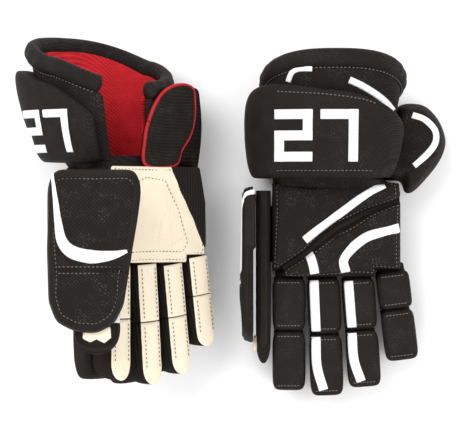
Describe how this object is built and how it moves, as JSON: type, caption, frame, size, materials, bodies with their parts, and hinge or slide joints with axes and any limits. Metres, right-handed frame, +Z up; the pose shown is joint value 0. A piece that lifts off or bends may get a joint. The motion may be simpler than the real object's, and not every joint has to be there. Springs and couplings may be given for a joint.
{
  "type": "ice hockey gloves",
  "caption": "Pair of small padded ice hockey gloves with rolled fingers, hinged thumbs, flared cuffs, cream palms and white stripes.",
  "frame": {"origin": "centre of the pair's footprint, on the surface that it lies on", "axes": "+X from the right-hand glove to the left-hand glove, +Y from the fingertips to the cuffs, +Z up"},
  "size_m": [0.286, 0.2402, 0.1326],
  "materials": {
    "black_nylon": "coarse woven nylon twill with fine pale flecks",
    "roll_nylon": "woven nylon over foam, pressed hems",
    "cream_leather": "soft suede-like synthetic leather with dark stitching",
    "black_knit": "black stretch knit gusset",
    "red_lining": "smooth red lining cloth",
    "clear_plastic": "semi-clear plastic stiffener plate"
  },
  "bodies": {
    "left_hand": {"left_palm_leather": "cream_leather", "left_hand_liner": "black_knit", "left_backhand_insert": "clear_plastic", "left_backhand_pad_lower": "black_nylon", "left_backhand_pad_upper": "black_nylon"},
    "left_cuff": {"left_cuff_shell": "black_nylon", "left_cuff_lining": "red_lining", "left_cuff_rim": "roll_nylon", "left_cuff_roll": "roll_nylon", "left_cuff_side_panel": "black_nylon", "left_wrist_flap": "black_nylon"},
    "left_thumb": {"left_thumb_sleeve": "black_knit", "left_thumb_insert": "clear_plastic", "left_thumb_guard": "black_nylon"},
    "left_index_base": {"left_index_base_sleeve": "cream_leather", "left_index_base_roll": "roll_nylon"},
    "left_index_tip": {"left_index_tip_sleeve": "cream_leather", "left_index_tip_roll": "roll_nylon"},
    "left_middle_base": {"left_middle_base_sleeve": "cream_leather", "left_middle_base_roll": "roll_nylon"},
    "left_middle_tip": {"left_middle_tip_sleeve": "cream_leather", "left_middle_tip_roll": "roll_nylon"},
    "left_ring_base": {"left_ring_base_sleeve": "cream_leather", "left_ring_base_roll": "roll_nylon"},
    "left_ring_tip": {"left_ring_tip_sleeve": "cream_leather", "left_ring_tip_roll": "roll_nylon"},
    "left_little_base": {"left_little_base_sleeve": "cream_leather", "left_little_base_roll": "roll_nylon"},
    "left_little_tip": {"left_little_tip_sleeve": "cream_leather", "left_little_tip_roll": "roll_nylon"},
    "right_hand": {"right_palm_leather": "cream_leather", "right_hand_liner": "black_knit", "right_backhand_insert": "clear_plastic", "right_backhand_pad_lower": "black_nylon", "right_backhand_pad_upper": "black_nylon"},
    "right_cuff": {"right_cuff_shell": "black_nylon", "right_cuff_lining": "red_lining", "right_cuff_rim": "roll_nylon", "right_cuff_roll": "roll_nylon", "right_cuff_side_panel": "black_nylon", "right_wrist_flap": "black_nylon"},
    "right_thumb": {"right_thumb_sleeve": "black_knit", "right_thumb_insert": "clear_plastic", "right_thumb_guard": "black_nylon"},
    "right_index_base": {"right_index_base_sleeve": "cream_leather", "right_index_base_roll": "roll_nylon"},
    "right_index_tip": {"right_index_tip_sleeve": "cream_leather", "right_index_tip_roll": "roll_nylon"},
    "right_middle_base": {"right_middle_base_sleeve": "cream_leather", "right_middle_base_roll": "roll_nylon"},
    "right_middle_tip": {"right_middle_tip_sleeve": "cream_leather", "right_middle_tip_roll": "roll_nylon"},
    "right_ring_base": {"right_ring_base_sleeve": "cream_leather", "right_ring_base_roll": "roll_nylon"},
    "right_ring_tip": {"right_ring_tip_sleeve": "cream_leather", "right_ring_tip_roll": "roll_nylon"},
    "right_little_base": {"right_little_base_sleeve": "cream_leather", "right_little_base_roll": "roll_nylon"},
    "right_little_tip": {"right_little_tip_sleeve": "cream_leather", "right_little_tip_roll": "roll_nylon"}
  },
  "joints": [
    {"name": "left_wrist_flex", "type": "hinge", "parent": "left_hand", "child": "left_cuff", "pos_m": [0.06224, 0.02345, 0], "axis": [-1, 0, 0], "range_deg": [0, 25]},
    {"name": "left_thumb_swing", "type": "hinge", "parent": "left_hand", "child": "left_thumb", "pos_m": [0.05624, -0.04035, 0.0009], "axis": [0, -1, 0], "range_deg": [0, 46]},
    {"name": "left_index_knuckle_flex", "type": "hinge", "parent": "left_hand", "child": "left_index_base", "pos_m": [0.03764, -0.04035, 0], "axis": [1, 0, 0], "range_deg": [0, 65]},
    {"name": "left_index_middle_flex", "type": "hinge", "parent": "left_index_base", "child": "left_index_tip", "pos_m": [0.03764, -0.07635, 0], "axis": [1, 0, 0], "range_deg": [0, 75]},
    {"name": "left_middle_knuckle_flex", "type": "hinge", "parent": "left_hand", "child": "left_middle_base", "pos_m": [0.06064, -0.04054, 0], "axis": [0.9994, 0.0349, 0], "range_deg": [0, 65]},
    {"name": "left_middle_middle_flex", "type": "hinge", "parent": "left_middle_base", "child": "left_middle_tip", "pos_m": [0.06197, -0.07851, 0], "axis": [0.9994, 0.0349, 0], "range_deg": [0, 75]},
    {"name": "left_ring_knuckle_flex", "type": "hinge", "parent": "left_hand", "child": "left_ring_base", "pos_m": [0.08364, -0.04072, 0], "axis": [0.9976, 0.0698, 0], "range_deg": [0, 65]},
    {"name": "left_ring_middle_flex", "type": "hinge", "parent": "left_ring_base", "child": "left_ring_tip", "pos_m": [0.08608, -0.07564, 0], "axis": [0.9976, 0.0698, 0], "range_deg": [0, 75]},
    {"name": "left_little_knuckle_flex", "type": "hinge", "parent": "left_hand", "child": "left_little_base", "pos_m": [0.10664, -0.03601, 0], "axis": [0.9925, 0.1219, 0], "range_deg": [0, 65]},
    {"name": "left_little_middle_flex", "type": "hinge", "parent": "left_little_base", "child": "left_little_tip", "pos_m": [0.10981, -0.06181, 0], "axis": [0.9925, 0.1219, 0], "range_deg": [0, 75]},
    {"name": "right_wrist_flex", "type": "hinge", "parent": "right_hand", "child": "right_cuff", "pos_m": [-0.05437, 0.03345, 0.07919], "axis": [0.7193, 0, -0.6947], "range_deg": [0, 25]},
    {"name": "right_thumb_swing", "type": "hinge", "parent": "right_hand", "child": "right_thumb", "pos_m": [-0.05931, -0.03035, 0.08271], "axis": [0, 1, 0], "range_deg": [-46, 0]},
    {"name": "right_index_knuckle_flex", "type": "hinge", "parent": "right_hand", "child": "right_index_base", "pos_m": [-0.07207, -0.03035, 0.09628], "axis": [-0.7193, 0, 0.6947], "range_deg": [0, 65]},
    {"name": "right_index_middle_flex", "type": "hinge", "parent": "right_index_base", "child": "right_index_tip", "pos_m": [-0.07207, -0.06635, 0.09628], "axis": [-0.7193, 0, 0.6947], "range_deg": [0, 75]},
    {"name": "right_middle_knuckle_flex", "type": "hinge", "parent": "right_hand", "child": "right_middle_base", "pos_m": [-0.05552, -0.03072, 0.0803], "axis": [-0.7176, -0.0698, 0.693], "range_deg": [0, 65]},
    {"name": "right_middle_middle_flex", "type": "hinge", "parent": "right_middle_base", "child": "right_middle_tip", "pos_m": [-0.05362, -0.06863, 0.07846], "axis": [-0.7176, -0.0698, 0.693], "range_deg": [0, 75]},
    {"name": "right_ring_knuckle_flex", "type": "hinge", "parent": "right_hand", "child": "right_ring_base", "pos_m": [-0.03898, -0.03101, 0.06432], "axis": [-0.714, -0.1219, 0.6895], "range_deg": [0, 65]},
    {"name": "right_ring_middle_flex", "type": "hinge", "parent": "right_ring_base", "child": "right_ring_tip", "pos_m": [-0.03591, -0.06575, 0.06136], "axis": [-0.714, -0.1219, 0.6895], "range_deg": [0, 75]},
    {"name": "right_little_knuckle_flex", "type": "hinge", "parent": "right_hand", "child": "right_little_base", "pos_m": [-0.02243, -0.0261, 0.04835], "axis": [-0.7123, -0.1392, 0.6879], "range_deg": [0, 30]},
    {"name": "right_little_middle_flex", "type": "hinge", "parent": "right_little_base", "child": "right_little_tip", "pos_m": [-0.01983, -0.05185, 0.04583], "axis": [-0.7123, -0.1392, 0.6879], "range_deg": [0, 60]},
    {"name": "right_glove_lift", "type": "slide", "parent": "left_hand", "child": "right_hand", "axis": [0, 0, 1], "range_m": [0, 0.25]}
  ]
}
